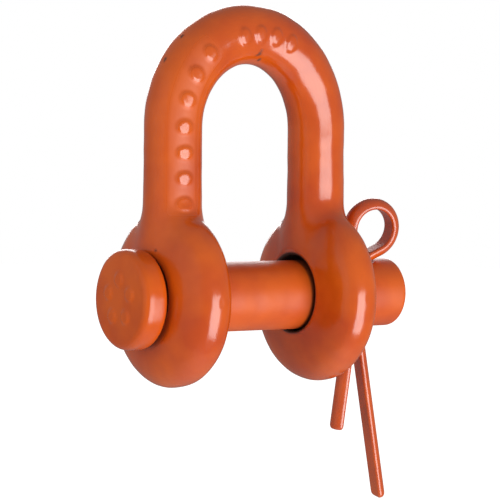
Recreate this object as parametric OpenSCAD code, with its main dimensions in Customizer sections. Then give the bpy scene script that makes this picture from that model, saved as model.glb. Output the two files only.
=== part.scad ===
// Dee shackle with a round headed pin that is kept in place by a split cotter pin.
// All sizes are in millimetres.
// X runs along the pin from its head to its cotter end, Z runs up to the crown.
// The origin sits on the pin axis, midway between the two ears.

/* [Shackle body] */
// Distance between the centre lines of the two legs
leg_pitch = 40; // [32:0.2:56]
// Height of the straight part above the pin axis
leg_h = 38.3; // [30:0.1:60]
// Rise of the crown centre line above the straight part
bow_h = 21.7; // [14:0.1:36]
// Diameter of the round stock in the legs
stock_d = 13.2; // [10:0.1:16]
// Thickness of the stock at the crown, seen from the front
crown_d = 13.7; // [10:0.1:17]

/* [Ears] */
// Diameter of each ear
ear_d = 40.4; // [32:0.1:48]
// Thickness of each ear along the pin
ear_w = 14.7; // [11:0.1:18]
// How far each ear centre sits outside its leg centre line
ear_out = 0.2; // [0:0.1:1.5]
// Squareness of the ear edge, two is a plain ellipsoid
ear_power = 2.5; // [2:0.1:4]
// Softness of the join between leg and ear
ear_blend = 3.4; // [1:0.1:5]
// How much wider each bore is than the pin
bore_play = 1.6; // [1.4:0.1:4]
// How far the bore centre sits above the resting pin
bore_lift = 0.4; // [0:0.1:0.6]
// Width of the broken edge round each bore
bore_rim = 0.7; // [0.3:0.1:1.5]

/* [Pin] */
// Diameter of the pin shank
pin_d = 16; // [12:0.1:16.4]
// Diameter of the forged head
head_d = 22.6; // [19:0.1:30]
// Thickness of the head at its edge
head_h = 5.9; // [4:0.1:10]
// Bulge of the head face
head_dome = 0.6; // [0.2:0.1:2]
// Air between the head and the furthest point of the ear behind it
head_gap = 0.2; // [0.1:0.1:2]
// Length of pin standing out past the far ear
pin_tail = 13.7; // [12:0.1:20]

/* [Cotter pin] */
// Diameter of the closed cotter shank
cotter_d = 4.8; // [4:0.1:5.4]
// Diameter of the round that the eye wire is half of
eye_wire_d = 5; // [4.2:0.1:5.4]
// Distance from the furthest point of the ear to the cotter hole centre
cotter_x = 4.6; // [4.6:0.1:7]
// Inside radius of the cotter eye
eye_r = 4.7; // [3.5:0.1:4.9]
// Length of straight wire between the pin and the eye, on the eye's side
neck_l = 2.96; // [1:0.02:8]
// How far the eye centre sits outside the shank line
eye_out = 2.2; // [2.2:0.1:3]
// Distance from the pin axis to the tip of the short leg
short_l = 33; // [22:0.2:40]
// Length of the long leg past its bend
long_l = 41.4; // [20:0.2:42]
// Bend of the long leg in degrees
long_bend = 14.5; // [5:0.5:30]
// Bend of the short leg in degrees
short_bend = 2.5; // [1:0.5:6]
// Lean of the cotter about the pin axis in degrees
cotter_lean = 8; // [-30:0.2:30]
// Turn of the eye about the cotter axis in degrees
cotter_turn = -8; // [-20:1:20]

/* [Hidden] */

// Facets round each body section, and the numbers of sections along it
body_n = 36;
ear_low_n = 9;
ear_high_n = 13;
bow_n = 26;
$fn = 48;

stock_r = stock_d / 2;
crown_r = crown_d / 2;
leg_x = leg_pitch / 2;
bore_d = pin_d + bore_play;
ear_x = leg_x + ear_out;
ear_r = ear_d / 2;
ear_t = ear_w / 2;
// The leg centre line moves out to the ear centre between these two heights
join_z0 = 0.22 * ear_r;
join_z1 = 1.11 * ear_r;
// Above this height the ear no longer shapes the leg
ear_top = 1.42 * ear_r;
face_x = ear_x + ear_t;
// Number of steps in the search for the ear's furthest point
boss_n = 24;
// Furthest that the whole ear stands out sideways
ear_boss_x = boss_x(ear_r);

pin_r = pin_d / 2;
head_r = head_d / 2;
head_in = -(boss_x(head_r) + head_gap);
tail_x = ear_boss_x + pin_tail;
hole_x = ear_boss_x + cotter_x;
wire_r = cotter_d / 2;
eye_wire_r = eye_wire_d / 2;
hole_r = wire_r + 0.35;
// Broken edge at each mouth of the cotter hole: a cone that widens by as much as it is long
mouth_depth = 1.1;
mouth_l = 2.4;
mouth_r = hole_r - 0.2;
// Half of the slit between the two cotter legs
slit = 0.1;
// Level inside the hole's mouth at which the wires part
throat_z = pin_r - 0.7;
// Radius of the curve that leads each wire out of the hole
flare_r = 3;
// Level at which the legs start to bend, and the radius of that bend
bend_z = -pin_r - 1.3;
bend_r = wire_r + 1;
// Height of the eye centre above the pin axis, from the two curves and the straight wire between them
eye_z = throat_z + sqrt(pow(eye_r + flare_r, 2) + pow(neck_l, 2) - pow(eye_out - slit - flare_r, 2));
// Step by which neighbouring wire lengths differ, so that they join without touching faces
join_trim = 0.03;

// Angle of the straight wire between flare and eye, for an eye centre e to that wire's side
function flare_angle(e) =
  let(dx = e - slit - flare_r, dz = eye_z - throat_z, l = sqrt(dx * dx + dz * dz))
  atan2(dx, dz) + asin((eye_r + flare_r) / l);

// Length of that straight wire
function flare_length(e) =
  let(dx = e - slit - flare_r, dz = eye_z - throat_z, k = eye_r + flare_r)
  sqrt(dx * dx + dz * dz - k * k);

function smooth(t) = let(c = min(max(t, 0), 1)) c * c * (3 - 2 * c);

function leg_axis(z) =
  let(w = smooth((z - join_z0) / (join_z1 - join_z0))) ear_x * (1 - w) + leg_x * w;

// Signed distance, nearly, to the rounded ear disc
function ear_field(x, y, z) =
  let(
    p = ear_power,
    a = sqrt(y * y + z * z) / ear_r,
    b = abs(x - ear_x) / ear_t,
    s = pow(a, p) + pow(b, p),
    gx = pow(b, p - 1) / ear_t,
    gr = pow(a, p - 1) / ear_r,
    g = pow(s, 1 / p - 1) * sqrt(gx * gx + gr * gr)
  )
  (pow(s, 1 / p) - 1) / g;

// Signed distance to the round leg, closed by a ball at the pin axis
function leg_field(x, y, z) =
  let(dx = x - leg_axis(z), dz = min(z, 0)) sqrt(dx * dx + y * y + dz * dz) - stock_r;

function body_field(x, y, z) =
  let(
    e = ear_field(x, y, z),
    l = leg_field(x, y, z),
    h = min(max(0.5 + 0.5 * (e - l) / ear_blend, 0), 1)
  )
  e * (1 - h) + l * h - ear_blend * h * (1 - h);

// Distance from the section centre to the surface in the direction c, s
function reach(cx, z, c, s, lo, hi, n) =
  n == 0 ? (lo + hi) / 2 :
  let(m = (lo + hi) / 2)
  body_field(cx + m * c, m * s, z) > 0 ?
    reach(cx, z, c, s, lo, m, n - 1) :
    reach(cx, z, c, s, m, hi, n - 1);

// Furthest that the ear stands out sideways from the bore's edge up to radius r, its leg's swelling included
function boss_x(r) =
  max([for (i = [0:boss_n])
    let(z = bore_d / 2 + (r - bore_d / 2) * i / boss_n, cx = leg_axis(z))
    cx + reach(cx, z, 1, 0, 0.05, ear_r * 1.6, 16)]);

// One section square to Z, with more points where the ear is long and thin
function flat_ring(z) =
  let(cx = leg_axis(z), k = 2 - smooth(z / ear_top))
  [for (i = [0:body_n - 1])
    let(
      u = 360 * i / body_n,
      q = sqrt(pow(cos(u), 2) + pow(k * sin(u), 2)),
      c = cos(u) / q,
      s = k * sin(u) / q,
      d = reach(cx, z, c, s, 0.05, ear_r * 1.6, 16)
    )
    [cx + d * c, d * s, z]];

// One section of the bow at angle b, counted from the right leg
function bow_ring(b) =
  let(
    nx = bow_h * cos(b),
    nz = leg_x * sin(b),
    m = sqrt(nx * nx + nz * nz),
    r = stock_r + (crown_r - stock_r) * smooth(sin(b))
  )
  [for (i = [0:body_n - 1])
    let(u = 360 * i / body_n)
    [
      leg_x * cos(b) + r * cos(u) * nx / m,
      stock_r * sin(u),
      leg_h + bow_h * sin(b) + r * cos(u) * nz / m
    ]];

function mirrored(ring) = [for (p = ring) [-p[0], p[1], p[2]]];

// Sections of one ear from just above its lowest point up to the top of the straight leg
side_rings = concat(
  [for (i = [1:ear_low_n]) flat_ring(-ear_r * cos(90 * pow(i / ear_low_n, 0.9)))],
  [for (i = [1:ear_high_n]) flat_ring(ear_top * i / ear_high_n)]
);
side_n = len(side_rings);

body_rings = concat(
  side_rings,
  [for (i = [0:bow_n]) bow_ring(180 * i / bow_n)],
  [for (i = [1:side_n]) mirrored(side_rings[side_n - i])]
);
ring_n = len(body_rings);

module forged_bar() {
  points = concat(
    [[ear_x, 0, -ear_r]],
    [for (ring = body_rings) each ring],
    [[-ear_x, 0, -ear_r]]
  );
  last = len(points) - 1;
  faces = concat(
    [for (i = [0:body_n - 1]) [0, 1 + i, 1 + (i + 1) % body_n]],
    [for (j = [0:ring_n - 2]) for (i = [0:body_n - 1])
      let(k = (i + 1) % body_n, a = 1 + j * body_n, b = a + body_n)
      each [[a + i, b + i, b + k], [a + i, b + k, a + k]]],
    [for (i = [0:body_n - 1])
      let(a = 1 + (ring_n - 1) * body_n)
      [last, a + (i + 1) % body_n, a + i]]
  );
  polyhedron(points = points, faces = faces, convexity = 6);
}

// Cutter for both bores with a broken edge at each of the four rims
module bore_cutter() {
  rim_x = ear_t * pow(1 - pow((bore_d / 2 + bore_rim) / ear_r, ear_power), 1 / ear_power);
  translate([0, 0, bore_lift])
    rotate([0, 90, 0])
      rotate_extrude($fn = 72)
        polygon([
          [0, -face_x - 3],
          [bore_d / 2 + bore_rim + 3, -face_x - 3],
          [bore_d / 2 + bore_rim + 3, -ear_x - rim_x - 3],
          [bore_d / 2 + bore_rim, -ear_x - rim_x],
          [bore_d / 2, -ear_x - rim_x + bore_rim],
          [bore_d / 2, -ear_x + rim_x - bore_rim],
          [bore_d / 2 + bore_rim + 3, -ear_x + rim_x + 3],
          [bore_d / 2 + bore_rim + 3, ear_x - rim_x - 3],
          [bore_d / 2, ear_x - rim_x + bore_rim],
          [bore_d / 2, ear_x + rim_x - bore_rim],
          [bore_d / 2 + bore_rim, ear_x + rim_x],
          [bore_d / 2 + bore_rim + 3, ear_x + rim_x + 3],
          [bore_d / 2 + bore_rim + 3, face_x + 3],
          [0, face_x + 3]
        ]);
}

// Places a child drawn along Z onto the cotter axis through the pin
module on_cotter_axis() {
  translate([hole_x, 0, 0])
    rotate([cotter_lean, 0, 0])
      children();
}

// Half outline of the pin, radius across and length up
module pin_outline() {
  front_r = 1.85;
  back_r = 1.3;
  tip_r = 1.2;
  edge = head_r - front_r;
  dome_r = (edge * edge + head_dome * head_dome) / (2 * head_dome);
  // Shank with a rounded tip
  translate([0, head_in - 1])
    square([pin_r, tail_x - tip_r - head_in + 1]);
  translate([0, tail_x - tip_r - 1])
    square([pin_r - tip_r, tip_r + 1]);
  translate([pin_r - tip_r, tail_x - tip_r])
    circle(r = tip_r);
  // Head with two rounded edges
  translate([0, head_in - head_h + front_r])
    square([head_r, head_h - front_r - back_r]);
  translate([0, head_in - back_r - 0.5])
    square([head_r - back_r, back_r + 0.5]);
  translate([0, head_in - head_h])
    square([edge, head_h - 1]);
  translate([head_r - back_r, head_in - back_r])
    circle(r = back_r);
  translate([edge, head_in - head_h + front_r])
    circle(r = front_r);
  // Bulged head face
  intersection() {
    translate([0, head_in - head_h - head_dome])
      square([edge, head_dome + 1]);
    translate([0, head_in - head_h - head_dome + dome_r])
      circle(r = dome_r, $fn = 360);
  }
}

// Half round wire section with its flat beside the Y axis, made smaller by trim all round
module wire_section(r, trim = 0) {
  intersection() {
    circle(r = r - trim);
    translate([trim, -r - 1])
      square([r + 1, 2 * r + 2]);
  }
}

// Straight wire of length l going down from the origin, flat side facing -X
module wire_line(l) {
  translate([0, 0, -l])
    linear_extrude(height = l)
      wire_section(wire_r);
}

// Wire curved about the Y axis from angle a0 through angle a, flat side outwards.
// It is a hair slimmer than its neighbours and reaches a little way into both of them.
module wire_bend(r, a0, a) {
  reach_in = 2;
  rotate([90, 0, 0])
    rotate([0, 0, a0 - reach_in])
      rotate_extrude(angle = a + 2 * reach_in)
        translate([r, 0])
          mirror([1, 0])
            wire_section(wire_r, join_trim);
}

// Round of the eye from angle a0 through angle a, flat side inwards
module eye_ring(a0, a) {
  translate([eye_out, 0, eye_z])
    rotate([90, 0, 0])
      rotate([0, 0, a0])
        rotate_extrude(angle = a)
          translate([eye_r, 0])
            wire_section(eye_wire_r, -join_trim);
}

// Bevelled end of a wire, hanging below the origin
module wire_tip() {
  bevel = 0.9;
  translate([0, 0, -bevel])
    intersection() {
      cylinder(r1 = wire_r - 0.8 * bevel, r2 = wire_r, h = bevel);
      translate([0, -wire_r - 1, -1])
        cube([wire_r + 1, 2 * wire_r + 2, bevel + 2]);
    }
}

// Curve out of the hole and the straight wire up to the eye, for an eye centre e to this side
module flare(e) {
  a = flare_angle(e);
  l = flare_length(e);
  translate([slit + flare_r, 0, throat_z]) {
    wire_bend(flare_r, 180 - a, a);
    rotate([0, a, 0])
      translate([-flare_r, 0, l + 0.4])
        wire_line(l + 0.4);
  }
}

// Straight wire through the hole, one bend of angle a, and a leg of length l with a bevelled tip
module leg(a, l) {
  translate([slit, 0, throat_z])
    wire_line(throat_z - bend_z);
  translate([slit + bend_r, 0, bend_z]) {
    wire_bend(bend_r, 180, a);
    rotate([0, -a, 0])
      translate([-bend_r, 0, 0]) {
        wire_line(l - 0.9);
        translate([0, 0, 0.9 - l])
          wire_tip();
      }
  }
}

// Eye and two legs about the Z axis, drawn before the lean and the turn
module bent_wire() {
  right = flare_angle(eye_out);
  left = flare_angle(-eye_out);
  eye_ring(-right, 180 + right + left);
  flare(eye_out);
  leg(long_bend, long_l);
  mirror([1, 0, 0]) {
    flare(-eye_out);
    leg(short_bend, short_l + bend_z);
  }
}

module shackle_body() {
  color([0.86, 0.36, 0.14])
    difference() {
      forged_bar();
      bore_cutter();
    }
}

module clevis_pin() {
  color([0.86, 0.36, 0.14])
    difference() {
      rotate([0, 90, 0])
        rotate_extrude($fn = 72)
          pin_outline();
      on_cotter_axis() {
        cylinder(r = hole_r, h = 2 * pin_r + 6, center = true);
        for (side = [0, 1])
          mirror([0, 0, side])
            translate([0, 0, pin_r - mouth_depth])
              cylinder(r1 = mouth_r, r2 = mouth_r + mouth_l, h = mouth_l);
      }
    }
}

module cotter_pin() {
  color([0.86, 0.36, 0.14])
    on_cotter_axis()
      rotate([0, 0, cotter_turn])
        bent_wire();
}

shackle_body();
clevis_pin();
cotter_pin();
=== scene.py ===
import math

import bmesh
import bpy
import numpy as np
from mathutils import Matrix, Vector, noise


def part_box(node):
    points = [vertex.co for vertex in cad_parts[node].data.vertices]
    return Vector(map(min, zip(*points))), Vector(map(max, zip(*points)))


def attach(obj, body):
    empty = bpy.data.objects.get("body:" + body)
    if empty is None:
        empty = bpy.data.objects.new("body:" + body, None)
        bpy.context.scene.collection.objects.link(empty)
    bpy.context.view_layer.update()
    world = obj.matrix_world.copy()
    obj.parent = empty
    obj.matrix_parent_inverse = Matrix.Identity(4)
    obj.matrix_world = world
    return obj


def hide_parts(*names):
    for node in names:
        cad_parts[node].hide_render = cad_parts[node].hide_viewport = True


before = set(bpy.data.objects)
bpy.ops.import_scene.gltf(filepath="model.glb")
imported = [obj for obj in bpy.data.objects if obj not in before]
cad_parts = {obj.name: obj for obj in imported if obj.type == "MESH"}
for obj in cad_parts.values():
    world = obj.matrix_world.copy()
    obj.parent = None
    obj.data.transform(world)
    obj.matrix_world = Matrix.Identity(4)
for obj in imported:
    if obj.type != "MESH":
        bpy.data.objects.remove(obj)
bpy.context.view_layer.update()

MM = 0.001

# Sizes of the forged body, in millimetres
STOCK_R = 6.6
CROWN_R = 6.85
LEG_X = 20.0
LEG_H = 38.3
BOW_H = 21.7
EAR_R = 20.2
EAR_T = 7.35
EAR_X = 20.2
EAR_POWER = 2.5
EAR_BLEND = 3.4
BORE_R = 8.8
BORE_Z = 0.4
BORE_ROUND = 0.8
# Above the ear the leg's axis moves from EAR_X to LEG_X: from this height, over this height
AXIS_MOVE_FROM = 0.22 * EAR_R
AXIS_MOVE_OVER = 0.89 * EAR_R
# Above this height the leg is plain round bar
BLEND_TOP = 1.42 * EAR_R

# Sizes of the pin, in millimetres
PIN_R = 8.0
HEAD_R = 11.3
HEAD_H = 5.9
HEAD_DOME = 0.6
pin_low, pin_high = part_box("clevis_pin")
HEAD_IN = pin_low[0] / MM + HEAD_DOME + HEAD_H
TAIL_X = pin_high[0] / MM

# Sizes of the cotter pin, in millimetres
TIP_TO_HOLE = 9.1
HOLE_X = TAIL_X - TIP_TO_HOLE
HOLE_R = 2.75
WIRE_R = 2.4
EYE_WIRE_R = 2.5
SLIT = 0.1
EYE_R = 4.7
EYE_Z = 15.5
EYE_OUT = 2.2
THROAT_Z = 7.3
FLARE_R = 3.0
BEND_Z = -9.3
BEND_R = 3.4
LONG_BEND_DEG = 14.5
SHORT_BEND_DEG = 2.5
SHORT_LEN = 23.7
LONG_LEN = 41.4
LEAN_DEG = 8.0
TURN_DEG = -8.0


def smooth_step(t):
    c = np.clip(t, 0.0, 1.0)
    return c * c * (3.0 - 2.0 * c)


def leg_axis(z):
    w = smooth_step((z - AXIS_MOVE_FROM) / AXIS_MOVE_OVER)
    return EAR_X * (1.0 - w) + LEG_X * w


def body_field(x, y, z):
    """Nearly the signed distance to the ear joined softly to its leg."""
    p = EAR_POWER
    a = np.sqrt(y * y + z * z) / EAR_R
    b = np.abs(x - EAR_X) / EAR_T
    s = np.maximum(a ** p + b ** p, 1e-9)
    slope = s ** (1.0 / p - 1.0) * np.hypot(b ** (p - 1.0) / EAR_T, a ** (p - 1.0) / EAR_R)
    ear = (s ** (1.0 / p) - 1.0) / np.maximum(slope, 1e-9)
    leg = np.sqrt((x - leg_axis(z)) ** 2 + y * y + np.minimum(z, 0.0) ** 2) - STOCK_R
    h = np.clip(0.5 + 0.5 * (ear - leg) / EAR_BLEND, 0.0, 1.0)
    return ear * (1.0 - h) + leg * h - EAR_BLEND * h * (1.0 - h)


def flat_ring(z, count):
    """One section of the right side, square to Z."""
    cx = leg_axis(np.array(z))
    # More of the rays point along the ear's long way, fewer as the section turns round
    k = 2.0 - smooth_step(np.array(z / BLEND_TOP))
    u = np.linspace(0.0, 2.0 * math.pi, count, endpoint=False)
    c, s = np.cos(u), k * np.sin(u)
    q = np.hypot(c, s)
    c, s = c / q, s / q
    lo, hi = np.full(count, 0.02), np.full(count, EAR_R * 1.6)
    for _ in range(22):
        m = (lo + hi) / 2.0
        outside = body_field(cx + m * c, m * s, z) > 0.0
        hi = np.where(outside, m, hi)
        lo = np.where(outside, lo, m)
    m = (lo + hi) / 2.0
    return np.stack([cx + m * c, m * s, np.full(count, z)], axis=1)


def bow_ring(b, count):
    """One section of the bow at angle b, counted from the right leg."""
    nx, nz = BOW_H * math.cos(b), LEG_X * math.sin(b)
    m = math.hypot(nx, nz)
    r = STOCK_R + (CROWN_R - STOCK_R) * float(smooth_step(math.sin(b)))
    u = np.linspace(0.0, 2.0 * math.pi, count, endpoint=False)
    x = LEG_X * math.cos(b) + r * np.cos(u) * nx / m
    z = LEG_H + BOW_H * math.sin(b) + r * np.cos(u) * nz / m
    return np.stack([x, STOCK_R * np.sin(u), z], axis=1)


def new_object(name, points, faces):
    mesh = bpy.data.meshes.new(name)
    mesh.from_pydata([tuple(float(c) * MM for c in p) for p in points], [], faces)
    mesh.update()
    piece = bpy.data.objects.new(name, mesh)
    bpy.context.scene.collection.objects.link(piece)
    return piece


def loft(name, rings, first, last):
    """Joins rings of equal length and closes both ends at a point."""
    count = len(rings[0])
    points = [first] + [p for ring in rings for p in ring] + [last]
    end = len(points) - 1
    faces = [(0, 1 + (i + 1) % count, 1 + i) for i in range(count)]
    for j in range(len(rings) - 1):
        a = 1 + j * count
        for i in range(count):
            k = (i + 1) % count
            faces.append((a + i, a + k, a + k + count, a + i + count))
    a = 1 + (len(rings) - 1) * count
    faces += [(end, a + i, a + (i + 1) % count) for i in range(count)]
    return new_object(name, points, faces)


def lathe(name, profile, count, middle_z=0.0):
    """Turns (x, radius) points about the X axis; both end points lie on the axis."""
    u = np.linspace(0.0, 2.0 * math.pi, count, endpoint=False)
    rings = []
    for x, r in profile[1:-1]:
        rings.append(np.stack([np.full(count, x), r * np.cos(u), r * np.sin(u) + middle_z], axis=1))
    first = (profile[0][0], 0.0, middle_z)
    last = (profile[-1][0], 0.0, middle_z)
    return loft(name, rings, first, last)


def arc(cx, cy, r, a0, a1, steps):
    """Points along a circle, angles in degrees."""
    angles = [math.radians(a0 + (a1 - a0) * i / steps) for i in range(steps + 1)]
    return [(cx + r * math.cos(a), cy + r * math.sin(a)) for a in angles]


def use_modifier(piece, kind, **settings):
    modifier = piece.modifiers.new(kind.lower(), kind)
    for key, value in settings.items():
        setattr(modifier, key, value)
    with bpy.context.temp_override(object=piece, active_object=piece, selected_objects=[piece]):
        bpy.ops.object.modifier_apply(modifier=modifier.name)


def cut(piece, tool):
    use_modifier(piece, "BOOLEAN", operation="DIFFERENCE", object=tool, solver="EXACT")
    bpy.data.objects.remove(tool)


def refine(piece, voxel, rounds):
    """Even quads all over, then smoothed, so that every cut edge comes out slightly round."""
    use_modifier(piece, "REMESH", mode="VOXEL", voxel_size=voxel * MM, adaptivity=0.0)
    use_modifier(piece, "SMOOTH", factor=0.5, iterations=rounds)
    piece.data.polygons.foreach_set("use_smooth", [True] * len(piece.data.polygons))


def read_points(piece):
    co = np.zeros(len(piece.data.vertices) * 3, np.float32)
    piece.data.vertices.foreach_get("co", co)
    return co.reshape(-1, 3).astype(float) / MM


def write_points(piece, points):
    piece.data.vertices.foreach_set("co", (points * MM).astype(np.float32).ravel())
    piece.data.update()


def read_normals(piece):
    no = np.zeros(len(piece.data.vertices) * 3, np.float32)
    piece.data.vertices.foreach_get("normal", no)
    return no.reshape(-1, 3).astype(float)


def waves(points, size):
    """Soft random waves from minus one to one, of this size in millimetres."""
    return np.array([noise.noise(Vector(p) / size) for p in points.tolist()])


def body_place(points):
    """How far along the bar each point is, from the right leg's ear over the crown to the left leg's,
    and its angle round the bar in degrees: 0 at the front and 90 on the outside of the bend."""
    x, y, z = points.T
    over = z > LEG_H
    side = np.where(x > 0.0, 1.0, -1.0)
    b = np.where(over, np.arctan2((z - LEG_H) / BOW_H, x / LEG_X), np.where(x > 0.0, 0.0, math.pi))
    cx = np.where(over, LEG_X * np.cos(b), side * leg_axis(z))
    cz = np.where(over, LEG_H + BOW_H * np.sin(b), z)
    nx = np.where(over, BOW_H * np.cos(b), side)
    nz = np.where(over, LEG_X * np.sin(b), 0.0)
    m = np.hypot(nx, nz)
    out = ((x - cx) * nx + (z - cz) * nz) / m
    mean_r = (LEG_X + BOW_H) / 2.0
    along = np.where(over, LEG_H + mean_r * b,
                     np.where(x > 0.0, z, 2.0 * LEG_H + mean_r * math.pi - z))
    return along, np.degrees(np.arctan2(out, -y))


def bump(along, around_deg, s, a, half_along, half_across, height):
    """A raised oval pad. Its soft shoulder ends at PAD_EDGE times its half sizes."""
    across = np.radians((around_deg - a + 180.0) % 360.0 - 180.0) * STOCK_R
    far = np.hypot((along - s) / half_along, across / half_across)
    return height * smooth_step((PAD_EDGE - far) / PAD_SHOULDER)


def keep_inside(points, node):
    """Moves any point that would stand outside its CAD node's box back to it."""
    low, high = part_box(node)
    margin = 0.02
    return np.clip(points, np.array(low) / MM + margin, np.array(high) / MM - margin)


def save_values(piece, name, values):
    layer = piece.data.attributes.new(name, "FLOAT", "POINT")
    layer.data.foreach_set("value", values.astype(np.float32))


# ---------------------------------------------------------------- forged body
PAD_EDGE = 1.35
PAD_SHOULDER = 0.65
# Rows of plain, equal, evenly spaced raised pads stand where the real forging has its raised marks:
# (place along the bar, angle round it, half length, half width, height)
LEG_MARKS = tuple((86.5 + 5.7 * i, 9.0, 1.5, 1.9, 0.42) for i in range(7))
CROWN_MARKS = tuple((62.4 + 4.6 * i, -2.0, 1.4, 1.9, 0.4) for i in range(4))
# Chips through the paint: (place along the bar, angle round it, radius)
CHIPS = (
    (71.0, -42.0, 1.2),
    (69.5, -60.0, 0.9),
    (87.0, 82.0, 0.6),
    (92.0, 86.0, 0.7),
    (58.5, 74.0, 0.6),
    (44.0, 84.0, 0.5),
    (131.0, 60.0, 0.5),
    (64.0, 175.0, 0.8),
)
# Width of the band round each bore's mouth that gets no waves, and of the fade beyond it
TRUE_BAND = 0.6
TRUE_FADE = 1.5
# The dull patch round the left leg's pads: its start and end along the bar, and how long each fade is
DULL_START = 83.0
DULL_START_FADE = 4.0
DULL_END = 124.0
DULL_END_FADE = 2.5
# and its middle, half width and fade round the bar, in degrees
DULL_MIDDLE = 13.0
DULL_HALF = 24.0
DULL_SIDE_FADE = 10.0


def build_body():
    around = 96
    side = [flat_ring(-EAR_R * math.cos(math.radians(90.0 * (i / 40.0))), around) for i in range(1, 41)]
    side += [flat_ring(BLEND_TOP * i / 50.0, around) for i in range(1, 51)]
    side += [flat_ring(BLEND_TOP + (LEG_H - BLEND_TOP) * i / 8.0, around) for i in range(1, 8)]
    bow = [bow_ring(math.pi * i / 110.0, around) for i in range(111)]
    flip = np.array([-1.0, 1.0, 1.0])
    rings = side + bow + [ring * flip for ring in reversed(side)]
    body = loft("forged_body", rings, (EAR_X, 0.0, -EAR_R), (-EAR_X, 0.0, -EAR_R))
    # Bore cutter with a rounded rim at each of the four mouths
    rim = EAR_T * (1.0 - ((BORE_R + BORE_ROUND) / EAR_R) ** EAR_POWER) ** (1.0 / EAR_POWER)
    q = BORE_ROUND
    inner, outer = EAR_X - rim, EAR_X + rim
    end = 40.0
    flare = 6.0
    wide = BORE_R + q + flare
    profile = [(-end, 0.0), (-end, wide), (-outer - flare, wide)]
    profile += arc(-outer + q, BORE_R + q, q, 180.0, 270.0, 6)
    profile += arc(-inner - q, BORE_R + q, q, 270.0, 360.0, 6)
    profile += [(-inner + flare, wide), (inner - flare, wide)]
    profile += arc(inner + q, BORE_R + q, q, 180.0, 270.0, 6)
    profile += arc(outer - q, BORE_R + q, q, 270.0, 360.0, 6)
    profile += [(outer + flare, wide), (end, wide), (end, 0.0)]
    cut(body, lathe("bore_tool", profile, 128, BORE_Z))
    refine(body, voxel=0.32, rounds=5)
    points = read_points(body)
    along, around_deg = body_place(points)
    # An uneven forged surface: broad waves with finer ones on them
    lift = 0.13 * waves(points, 9.0) + 0.05 * waves(points, 3.2)
    for mark in LEG_MARKS + CROWN_MARKS:
        lift += bump(along, around_deg, *mark)
    axis_far = np.hypot(points[:, 1], points[:, 2] - BORE_Z)
    # The bores and a band round each mouth stay true
    lift *= smooth_step((axis_far - BORE_R - TRUE_BAND) / TRUE_FADE)
    points = points + read_normals(body) * lift[:, None]
    write_points(body, keep_inside(points, "shackle_body"))
    # How dark each point is, starting with painted shade inside the bores
    dark = 1.0 - smooth_step((axis_far - BORE_R - 0.45) / 0.5)
    # Painted shadow on the ear under the head, darkest at the bottom
    pin_far = np.hypot(points[:, 1], points[:, 2])
    under_head = 1.0 - smooth_step((pin_far - HEAD_R + 1.6) / 2.0)
    low = smooth_step(-points[:, 2] / HEAD_R)
    dark = np.maximum(dark, (0.25 + 0.6 * low) * under_head * (points[:, 0] < -EAR_X - 4.0))
    # The chips have ragged edges
    speckle = waves(points, 1.1) * 0.5 + waves(points, 0.45) * 0.3
    for s, a, size in CHIPS:
        away = np.hypot(along - s, np.radians(around_deg - a) * STOCK_R) / size
        dark = np.maximum(dark, 0.8 * smooth_step((1.0 - away + speckle) / 0.8) * (axis_far > BORE_R + 1.0))
    save_values(body, "dark", dark)
    # How dull the paint is: dusty round the raised pads of the left leg, bright on their tops
    dull = smooth_step((along - DULL_START) / DULL_START_FADE)
    dull *= smooth_step((DULL_END - along) / DULL_END_FADE)
    dull *= 1.0 - smooth_step((np.abs(around_deg - DULL_MIDDLE) - DULL_HALF) / DULL_SIDE_FADE)
    for mark in LEG_MARKS:
        dull *= 1.0 - smooth_step((bump(along, around_deg, *mark) / mark[-1] - 0.35) / 0.4)
    save_values(body, "dull", dull)
    return body


# ---------------------------------------------------------------- pin
# Plain round pads, evenly spaced in a ring on the head's face
HEAD_PADS = 5
HEAD_PAD_RING = 4.6
HEAD_PAD_R = 1.5
HEAD_PAD_LIFT = 0.55
HEAD_PAD_EDGE = 1.4
HEAD_PAD_SHOULDER = 0.9
# How much lower the dome is than in the CAD, which leaves room for the raised pads on it
DOME_DROP = 0.35
# The cross hole's cutter: half its length, and where its mouths start to widen
HOLE_REACH = 14.0
MOUTH_FROM = 7.1
MOUTH_R = HOLE_R + 6.9


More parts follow.
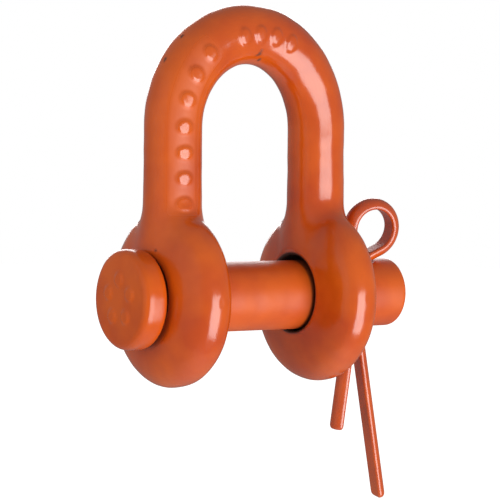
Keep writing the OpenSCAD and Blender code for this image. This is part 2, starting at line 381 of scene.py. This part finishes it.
def build_pin():
    # Radii of the rounded edges: the head's face, the head's back and the pin's tip
    front, back, tip = 1.85, 1.3, 1.2
    edge = HEAD_R - front
    face = HEAD_IN - HEAD_H
    dome = HEAD_DOME - DOME_DROP
    dome_r = (edge * edge + dome * dome) / (2.0 * dome)
    profile = []
    for i in range(17):
        r = edge * i / 16.0
        profile.append((face - dome + dome_r - math.sqrt(dome_r * dome_r - r * r), r))
    profile += arc(face + front, edge, front, 180.0, 90.0, 10)[1:]
    profile += arc(HEAD_IN - back, HEAD_R - back, back, 90.0, 0.0, 8)
    profile += [(HEAD_IN, PIN_R + 0.6), (HEAD_IN + 0.15, PIN_R + 0.2), (HEAD_IN + 0.5, PIN_R)]
    profile += arc(TAIL_X - tip, PIN_R - tip, tip, 90.0, 0.0, 8)
    profile.append((TAIL_X, 0.0))
    pin = lathe("pin_and_head", profile, 160)
    mouth = [(-HOLE_REACH, 0.0), (-HOLE_REACH, MOUTH_R), (-MOUTH_FROM, HOLE_R)]
    hole = lathe("hole_tool", mouth + [(-x, r) for x, r in reversed(mouth)], 64)
    shift = Matrix.Translation((HOLE_X * MM, 0.0, 0.0))
    lean = Matrix.Rotation(math.radians(LEAN_DEG), 4, "X")
    upright = Matrix.Rotation(math.pi / 2.0, 4, "Y")
    hole.matrix_world = shift @ lean @ upright
    bpy.context.view_layer.update()
    cut(pin, hole)
    refine(pin, voxel=0.3, rounds=5)
    points = read_points(pin)
    x, y, z = points.T
    on_face = smooth_step((HEAD_IN - HEAD_H + 1.2 - x) / 0.6)
    lift = 0.05 * waves(points, 8.0) * (0.3 + on_face)
    for i in range(HEAD_PADS):
        a = 2.0 * math.pi * i / HEAD_PADS
        far = np.hypot(y - HEAD_PAD_RING * math.sin(a), z - HEAD_PAD_RING * math.cos(a)) / HEAD_PAD_R
        lift += HEAD_PAD_LIFT * on_face * smooth_step((HEAD_PAD_EDGE - far) / HEAD_PAD_SHOULDER)
    points = points + read_normals(pin) * lift[:, None]
    write_points(pin, keep_inside(points, "clevis_pin"))
    # Painted shade on the shank where it runs in the bores
    away = np.abs(np.abs(x) - EAR_X)
    save_values(pin, "dark", 0.75 * smooth_step((EAR_T - 0.2 - away) / 0.8) * (np.hypot(y, z) < PIN_R + 0.3))
    # The shank's paint is rubbed dull, and the head's is not
    save_values(pin, "dull", 0.6 * smooth_step((x - HEAD_IN + 0.5) / 1.0))
    return pin


# ---------------------------------------------------------------- cotter pin
# Length of each rounded tip, and the share of it by which the last ring's radius is smaller
TIP_L = 1.1
TIP_SHRINK = 0.85
# The wire thickens from WIRE_R to EYE_WIRE_R over this height above the pin
THICKEN_OVER = 4.0
# Distance of the section's middle from its flat, as a share of the radius
MIDDLE_SHARE = 0.42


def half_path(eye_out, bend_deg, leg_length):
    """The flat side of one wire, from its leg's tip up to where the eye's round begins, and the
    angle there. Each entry is (across, up, tangent across, tangent up), for the wire on the plus side."""
    dx, dz = eye_out - SLIT - FLARE_R, EYE_Z - THROAT_Z
    flare = math.atan2(dx, dz) + math.asin((EYE_R + FLARE_R) / math.hypot(dx, dz))
    straight = math.sqrt(dx * dx + dz * dz - (EYE_R + FLARE_R) ** 2)
    bend = math.radians(bend_deg)
    path = []
    x0 = SLIT + BEND_R * (1.0 - math.cos(bend))
    z0 = BEND_Z - BEND_R * math.sin(bend)
    for i in range(61):
        d = leg_length * (1.0 - i / 60.0)
        path.append((x0 + d * math.sin(bend), z0 - d * math.cos(bend), -math.sin(bend), math.cos(bend)))
    for i in range(1, 7):
        a = bend * (1.0 - i / 6.0)
        path.append((SLIT + BEND_R * (1.0 - math.cos(a)), BEND_Z - BEND_R * math.sin(a),
                     -math.sin(a), math.cos(a)))
    for i in range(1, 31):
        path.append((SLIT, BEND_Z + (THROAT_Z - BEND_Z) * i / 30.0, 0.0, 1.0))
    for i in range(1, 13):
        a = flare * i / 12.0
        path.append((SLIT + FLARE_R * (1.0 - math.cos(a)), THROAT_Z + FLARE_R * math.sin(a),
                     math.sin(a), math.cos(a)))
    x1, z1 = path[-1][0], path[-1][1]
    for i in range(1, 11):
        d = straight * i / 10.0
        path.append((x1 + d * math.sin(flare), z1 + d * math.cos(flare), math.sin(flare), math.cos(flare)))
    return path, flare


def wire_path():
    """The whole wire from the short leg's tip over the eye to the long leg's tip."""
    short, left = half_path(-EYE_OUT, SHORT_BEND_DEG, SHORT_LEN)
    long, right = half_path(EYE_OUT, LONG_BEND_DEG, LONG_LEN)
    path = [(-x, z, -tx, tz) for x, z, tx, tz in short]
    sweep = math.pi + left + right
    for i in range(1, 80):
        a = math.pi + left - sweep * i / 80.0
        path.append((EYE_OUT + EYE_R * math.cos(a), EYE_Z + EYE_R * math.sin(a), math.sin(a), -math.cos(a)))
    path += [(x, z, -tx, -tz) for x, z, tx, tz in reversed(long)]
    return path


def wire_section():
    """Half round outline of radius one with soft corners: (distance from the flat, place across the flat)."""
    corner = 0.26
    centre = math.sqrt((1.0 - corner) ** 2 - corner ** 2)
    start = math.degrees(math.atan2(centre, corner))
    outline = arc(corner, centre, corner, 180.0, start, 6)
    outline += arc(0.0, 0.0, 1.0, start, -start, 26)[1:-1]
    outline += arc(corner, -centre, corner, -start, -180.0, 6)
    outline += [(0.0, -centre * (1.0 - 2.0 * i / 8.0)) for i in range(1, 8)]
    return outline


def build_cotter():
    path = wire_path()
    section = wire_section()
    lengths = [0.0]
    for a, b in zip(path, path[1:]):
        lengths.append(lengths[-1] + math.hypot(b[0] - a[0], b[1] - a[1]))
    total = lengths[-1]
    # Rounded ends: extra rings close to each tip, each drawn in towards the wire's middle
    ends = [TIP_L * (1.0 - math.cos(math.radians(a))) for a in range(0, 91, 10)]
    stations = list(ends)
    stations += [d for d in lengths if TIP_L < d < total - TIP_L]
    stations += [total - d for d in reversed(ends)]
    place = np.array(path)
    rings = []
    for d in stations:
        x, z, tx, tz = (np.interp(d, lengths, place[:, k]) for k in range(4))
        m = math.hypot(tx, tz)
        # The round side faces away from the slit, to the left of the direction of travel
        ox, oz = -tz / m, tx / m
        thick = WIRE_R + (EYE_WIRE_R - WIRE_R) * float(smooth_step((z - PIN_R) / THICKEN_OVER))
        gap = min(d, total - d)
        draw_in = 0.0
        if gap < TIP_L:
            draw_in = TIP_L * (1.0 - math.sqrt(max(0.0, 1.0 - (1.0 - gap / TIP_L) ** 2)))
        shrink = 1.0 - TIP_SHRINK * draw_in / WIRE_R
        middle = thick * MIDDLE_SHARE
        ring = []
        for off, across in section:
            o = middle + (off * thick - middle) * shrink
            ring.append((x + ox * o, across * thick * shrink, z + oz * o))
        rings.append(np.array(ring))
    first = tuple(np.mean(rings[0], axis=0))
    last = tuple(np.mean(rings[-1], axis=0))
    cotter = loft("split_cotter", rings, first, last)
    mesh = cotter.data
    turn = Matrix.Rotation(math.radians(TURN_DEG), 4, "Z")
    lean = Matrix.Rotation(math.radians(LEAN_DEG), 4, "X")
    mesh.transform(Matrix.Translation((HOLE_X * MM, 0.0, 0.0)) @ lean @ turn)
    edited = bmesh.new()
    edited.from_mesh(mesh)
    bmesh.ops.recalc_face_normals(edited, faces=edited.faces)
    edited.to_mesh(mesh)
    edited.free()
    write_points(cotter, keep_inside(read_points(cotter), "cotter_pin"))
    mesh.polygons.foreach_set("use_smooth", [True] * len(mesh.polygons))
    return cotter


# ---------------------------------------------------------------- looks
ORANGE = (0.72, 0.112, 0.005)
ORANGE_DEEP = (0.56, 0.066, 0.005)
# Near black, for paint chips and for painted shade in the bores, under the head and on the shank
SHADE_AND_CHIP_COLOUR = (0.035, 0.018, 0.012, 1.0)
DULL_ROUGHNESS = 0.55


def paint_material(name, base, dark, gloss, smooth):
    """Thick enamel over a forging. The piece's own "dark" values show paint chips and painted shade, and its
    "dull" values make the paint rough. gloss is the index of refraction and smooth the roughness where
    neither is."""
    material = bpy.data.materials.new(name)
    material.use_nodes = True
    nodes = material.node_tree.nodes
    links = material.node_tree.links
    shader = nodes["Principled BSDF"]
    where = nodes.new("ShaderNodeTexCoord")

    def noise_at(scale, detail):
        node = nodes.new("ShaderNodeTexNoise")
        node.inputs["Scale"].default_value = scale
        node.inputs["Detail"].default_value = detail
        links.new(where.outputs["Object"], node.inputs["Vector"])
        return node.outputs["Fac"]

    def bump_node(height, distance, strength, below=None):
        node = nodes.new("ShaderNodeBump")
        node.inputs["Distance"].default_value = distance
        node.inputs["Strength"].default_value = strength
        links.new(height, node.inputs["Height"])
        if below is not None:
            links.new(below, node.inputs["Normal"])
        return node.outputs["Normal"]

    ramp = nodes.new("ShaderNodeValToRGB")
    ramp.color_ramp.elements[0].position = 0.35
    ramp.color_ramp.elements[0].color = (*dark, 1.0)
    ramp.color_ramp.elements[1].position = 0.65
    ramp.color_ramp.elements[1].color = (*base, 1.0)
    links.new(noise_at(70.0, 3.0), ramp.inputs["Fac"])
    # The "dark" values mix in the near black: painted shade and paint chips
    shade_and_chips = nodes.new("ShaderNodeAttribute")
    shade_and_chips.attribute_name = "dark"
    mix = nodes.new("ShaderNodeMix")
    mix.data_type = "RGBA"
    mix.inputs["B"].default_value = SHADE_AND_CHIP_COLOUR
    links.new(shade_and_chips.outputs["Fac"], mix.inputs["Factor"])
    links.new(ramp.outputs["Color"], mix.inputs["A"])
    links.new(mix.outputs["Result"], shader.inputs["Base Color"])
    rough = nodes.new("ShaderNodeMapRange")
    rough.inputs["To Min"].default_value = smooth
    rough.inputs["To Max"].default_value = DULL_ROUGHNESS
    dull = nodes.new("ShaderNodeAttribute")
    dull.attribute_name = "dull"
    either = nodes.new("ShaderNodeMath")
    either.operation = "MAXIMUM"
    links.new(shade_and_chips.outputs["Fac"], either.inputs[0])
    links.new(dull.outputs["Fac"], either.inputs[1])
    links.new(either.outputs[0], rough.inputs["Value"])
    links.new(rough.outputs["Result"], shader.inputs["Roughness"])
    shader.inputs["IOR"].default_value = gloss
    # Slow ripples in the enamel with a fine grain on them
    wavy = bump_node(noise_at(120.0, 1.0), 0.0008, 0.3)
    links.new(bump_node(noise_at(480.0, 2.0), 0.0001, 0.3, wavy), shader.inputs["Normal"])
    return material


def seen_only(tree, shown, lit):
    """The camera sees the strength called shown, and everything else is lit by the one called lit,
    so that the white surround does not wash out the paint."""
    path = tree.nodes.new("ShaderNodeLightPath")
    mix = tree.nodes.new("ShaderNodeMix")
    mix.data_type = "FLOAT"
    mix.inputs["A"].default_value = lit
    mix.inputs["B"].default_value = shown
    tree.links.new(path.outputs["Is Camera Ray"], mix.inputs["Factor"])
    return mix.outputs["Result"]


def stage_material(name):
    material = bpy.data.materials.new(name)
    material.use_nodes = True
    shader = material.node_tree.nodes["Principled BSDF"]
    shader.inputs["Base Color"].default_value = (0.8, 0.8, 0.8, 1.0)
    shader.inputs["Roughness"].default_value = 1.0
    shader.inputs["Specular IOR Level"].default_value = 0.0
    shader.inputs["Emission Color"].default_value = (1.0, 1.0, 1.0, 1.0)
    strength = seen_only(material.node_tree, shown=1.0, lit=0.0)
    material.node_tree.links.new(strength, shader.inputs["Emission Strength"])
    return material


body = build_body()
pin = build_pin()
cotter = build_cotter()
# The pin reflects less than the body, and the cotter reflects most
for piece, node, owner, slot, gloss, smooth in (
    (body, "shackle_body", "shackle", "body_paint", 1.75, 0.18),
    (pin, "clevis_pin", "pin", "pin_paint", 1.6, 0.2),
    (cotter, "cotter_pin", "cotter", "cotter_paint", 1.9, 0.24),
):
    piece.data.materials.clear()
    piece.data.materials.append(paint_material(slot, ORANGE, ORANGE_DEEP, gloss, smooth))
    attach(piece, owner)
    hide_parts(node)


# ---------------------------------------------------------------- stage
FLOOR_HALF = 60000.0
FLOOR_Z = -1400.0


def stage_floor():
    """The shackle hangs, so the floor lies well below it."""
    half = FLOOR_HALF
    corners = [(-half, -half, FLOOR_Z), (half, -half, FLOOR_Z), (half, half, FLOOR_Z), (-half, half, FLOOR_Z)]
    floor = new_object("stage_floor", corners, [(0, 1, 2, 3)])
    floor.data.materials.append(stage_material("stage_white"))


def soft_light(name, azimuth, elevation, distance, width, height, watts, aim=(0.0, 0.0, 0.01)):
    """A rectangular panel aimed at the shackle. Angles are in degrees and lengths in metres."""
    a, e = math.radians(azimuth), math.radians(elevation)
    data = bpy.data.lights.new(name, "AREA")
    data.shape = "RECTANGLE"
    data.size = width
    data.size_y = height
    data.energy = watts
    light = bpy.data.objects.new(name, data)
    back = Vector((math.sin(a) * math.cos(e), -math.cos(a) * math.cos(e), math.sin(e)))
    light.location = Vector(aim) + back * distance
    light.rotation_euler = back.to_track_quat("Z", "Y").to_euler()
    bpy.context.scene.collection.objects.link(light)
    return light


# Camera: its angles in degrees, its distance and how far its aim is moved, in metres, and its lens
CAMERA_AZIMUTH = -35.0
CAMERA_ELEVATION = 3.36
CAMERA_ROLL = 0.52
CAMERA_DISTANCE = 0.616
AIM_RIGHT = 0.0012
AIM_UP = 0.0106
CAMERA_LENS = 193.0


def place_camera():
    azimuth = math.radians(CAMERA_AZIMUTH)
    elevation = math.radians(CAMERA_ELEVATION)
    roll = math.radians(CAMERA_ROLL)
    back = Vector((math.sin(azimuth) * math.cos(elevation), -math.cos(azimuth) * math.cos(elevation),
                   math.sin(elevation)))
    right = Vector((math.cos(azimuth), math.sin(azimuth), 0.0))
    up = back.cross(right)
    eye = back * CAMERA_DISTANCE
    aim = right * AIM_RIGHT + up * AIM_UP
    view = (eye - aim).normalized()
    side = Vector((0.0, 0.0, 1.0)).cross(view).normalized()
    top = view.cross(side)
    turn = Matrix((side, top, view)).transposed()
    data = bpy.data.cameras.new("camera")
    data.sensor_width = 36.0
    data.lens = CAMERA_LENS
    data.clip_start = 0.05
    data.clip_end = 30.0
    camera = bpy.data.objects.new("camera", data)
    camera.matrix_world = Matrix.Translation(eye) @ turn.to_4x4() @ Matrix.Rotation(roll, 4, "Z")
    bpy.context.scene.collection.objects.link(camera)
    bpy.context.scene.camera = camera


stage_floor()
soft_light("key_panel", azimuth=6.0, elevation=-20.0, distance=1.2, width=1.15, height=1.15, watts=17.0)
fill = soft_light("fill_panel", azimuth=-95.0, elevation=10.0, distance=1.3, width=1.4, height=1.4, watts=8.5)
# The fill brightens the head's side without a reflection of its own
fill.visible_glossy = False
soft_light("back_panel", azimuth=150.0, elevation=20.0, distance=1.5, width=0.8, height=0.8, watts=7.0)
world = bpy.data.worlds.new("studio")
world.use_nodes = True
background = world.node_tree.nodes["Background"]
background.inputs["Color"].default_value = (1.0, 1.0, 1.0, 1.0)
strength = seen_only(world.node_tree, shown=1.0, lit=0.26)
world.node_tree.links.new(strength, background.inputs["Strength"])
bpy.context.scene.world = world
bpy.context.scene.view_settings.view_transform = "Standard"
place_camera()
